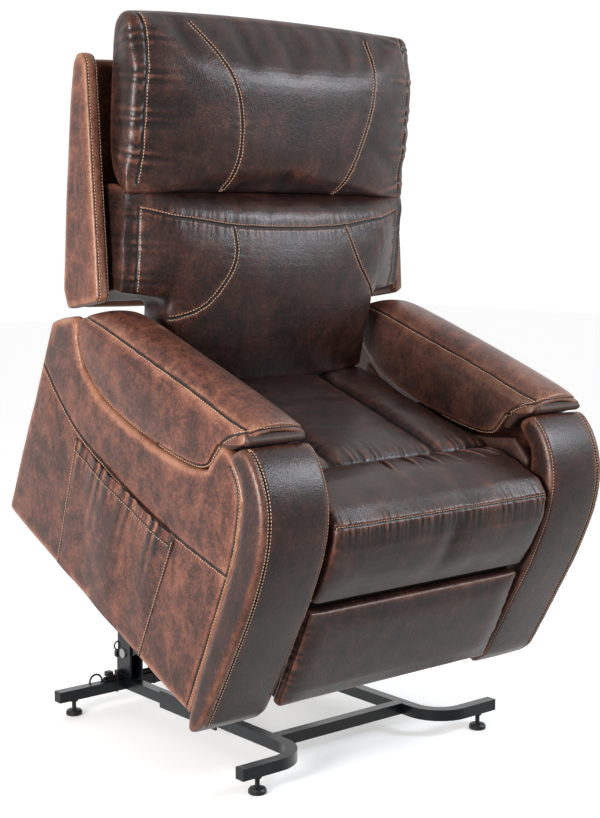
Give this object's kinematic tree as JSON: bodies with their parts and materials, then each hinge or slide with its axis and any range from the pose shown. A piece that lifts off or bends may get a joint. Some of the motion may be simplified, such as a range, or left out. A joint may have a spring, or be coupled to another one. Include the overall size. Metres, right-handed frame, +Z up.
{
  "type": "lift recliner chair",
  "caption": "Powered lift recliner armchair with padded arms and back on a steel floor frame; the lift, back, headrest and footrest move.",
  "frame": {"origin": "on the floor, at the centre of the raised chair's bounding box", "axes": "+Z up, -Y towards the front of the chair, +X to the right seen from the front"},
  "size_m": [0.94, 0.9431, 1.5808],
  "materials": {
    "frame_steel": "satin",
    "zinc_steel": "satin",
    "black_plastic": "satin",
    "cable": "matte",
    "timber": "matte",
    "leather_outer": "satin",
    "leather_front": "satin"
  },
  "bodies": {
    "base": {"base_rail_left": "frame_steel", "base_rail_right": "frame_steel", "front_crossbar": "frame_steel", "rear_crossbar": "frame_steel", "tube_end_caps": "black_plastic", "levelling_feet": "black_plastic", "pivot_post_left": "frame_steel", "pivot_post_right": "frame_steel", "rail_brackets": "frame_steel", "base_pivot_pins": "zinc_steel", "lift_motor_bracket": "frame_steel", "wiring_harness": "cable", "harness_connectors": "black_plastic"},
    "lift_arms": {"lift_arm_left": "frame_steel", "lift_arm_right": "frame_steel", "lift_torque_shaft": "zinc_steel"},
    "lift_links": {"lift_link_left": "frame_steel", "lift_link_right": "frame_steel", "lift_link_brace": "frame_steel"},
    "lift_motor": {"lift_motor": "black_plastic"},
    "lift_rod": {"lift_rod": "zinc_steel"},
    "chair": {"side_plate_left": "frame_steel", "side_plate_right": "frame_steel", "front_cross_tube": "frame_steel", "drive_cross_tube": "frame_steel", "rear_cross_tube": "frame_steel", "seat_frame": "timber", "seat_springs": "zinc_steel", "seat_cushion": "leather_front", "arm_side_left": "leather_outer", "arm_side_right": "leather_outer", "arm_inner_left": "leather_front", "arm_inner_right": "leather_front", "arm_front_left": "leather_front", "arm_front_right": "leather_front", "arm_pad_left": "leather_outer", "arm_pad_right": "leather_outer", "side_pocket": "leather_outer", "recline_motor": "black_plastic", "footrest_motor": "black_plastic", "control_box": "black_plastic", "recline_pins": "zinc_steel"},
    "footrest_inner": {"footrest_drive_tube": "zinc_steel", "footrest_inner_links": "frame_steel"},
    "footrest_outer": {"footrest_outer_links": "frame_steel"},
    "footrest": {"footrest_board": "timber", "footrest_pad": "leather_front"},
    "footrest_rod": {"footrest_push_rod": "zinc_steel"},
    "back": {"back_wing_left": "leather_outer", "back_wing_right": "leather_outer", "back_panel": "leather_outer", "back_frame": "frame_steel", "back_hinge_arms": "frame_steel", "lumbar_cushion": "leather_front", "headrest_motor": "black_plastic"},
    "recline_rod": {"recline_push_rod": "zinc_steel"},
    "headrest": {"headrest_pillow": "leather_outer", "headrest_plate": "frame_steel"},
    "headrest_rod": {"headrest_push_rod": "zinc_steel"}
  },
  "joints": [
    {"name": "lift", "type": "hinge", "parent": "base", "child": "lift_arms", "pos_m": [0, 0.404, 0.1253], "axis": [1, 0, 0], "range_deg": [0, 27.95]},
    {"name": "chair_tilt", "type": "hinge", "parent": "lift_arms", "child": "chair", "pos_m": [0, -0.04989, 0.37935], "axis": [1, 0, 0], "range_deg": [-52, 0]},
    {"name": "link_swing", "type": "hinge", "parent": "base", "child": "lift_links", "pos_m": [0, 0.404, 0.2669], "axis": [1, 0, 0], "range_deg": [0, 28.4]},
    {"name": "motor_swing", "type": "hinge", "parent": "base", "child": "lift_motor", "pos_m": [0, 0.389, 0.09], "axis": [1, 0, 0], "range_deg": [0, 19.68]},
    {"name": "rod_travel", "type": "slide", "parent": "lift_motor", "child": "lift_rod", "axis": [0, 0.7761, -0.6306], "range_m": [0, 0.1023]},
    {"name": "footrest", "type": "hinge", "parent": "chair", "child": "footrest_inner", "pos_m": [0, -0.29523, 0.42884], "axis": [-1, 0, 0], "range_deg": [0, 124.2]},
    {"name": "footrest_knee", "type": "hinge", "parent": "footrest_inner", "child": "footrest_outer", "pos_m": [0, -0.09764, 0.42268], "axis": [-1, 0, 0], "range_deg": [-67.85, 0]},
    {"name": "footrest_turn", "type": "hinge", "parent": "footrest_outer", "child": "footrest", "pos_m": [0, -0.27594, 0.2798], "axis": [-1, 0, 0], "range_deg": [0, 36.45]},
    {"name": "footrest_drive", "type": "slide", "parent": "chair", "child": "footrest_rod", "axis": [0, -0.9135, -0.4067], "range_m": [0, 0.1066]},
    {"name": "recline", "type": "hinge", "parent": "chair", "child": "back", "pos_m": [0, 0.19554, 0.81154], "axis": [-1, 0, 0], "range_deg": [0, 48]},
    {"name": "recline_drive", "type": "slide", "parent": "chair", "child": "recline_rod", "axis": [0, -0.9135, -0.4067], "range_m": [0, 0.1063]},
    {"name": "headrest_tilt", "type": "hinge", "parent": "back", "child": "headrest", "pos_m": [0, 0.14247, 1.22577], "axis": [1, 0, 0], "range_deg": [0, 20]},
    {"name": "headrest_drive", "type": "slide", "parent": "back", "child": "headrest_rod", "axis": [0, -0.0976, 0.9952], "range_m": [0, 0.0193]}
  ],
  "couplings": [
    {"joint": "chair_tilt", "follows": "lift", "ratio": -1.8587},
    {"joint": "link_swing", "follows": "lift", "ratio": 1.0142},
    {"joint": "motor_swing", "follows": "lift", "ratio": 0.70232},
    {"joint": "rod_travel", "follows": "lift", "m_per_rad": 0.20862},
    {"joint": "footrest_knee", "follows": "footrest", "ratio": -0.54589},
    {"joint": "footrest_turn", "follows": "footrest", "ratio": 0.29308},
    {"joint": "footrest_drive", "follows": "footrest", "m_per_rad": 0.048924},
    {"joint": "recline_drive", "follows": "recline", "m_per_rad": 0.12623},
    {"joint": "headrest_drive", "follows": "headrest_tilt", "m_per_rad": 0.05389}
  ]
}
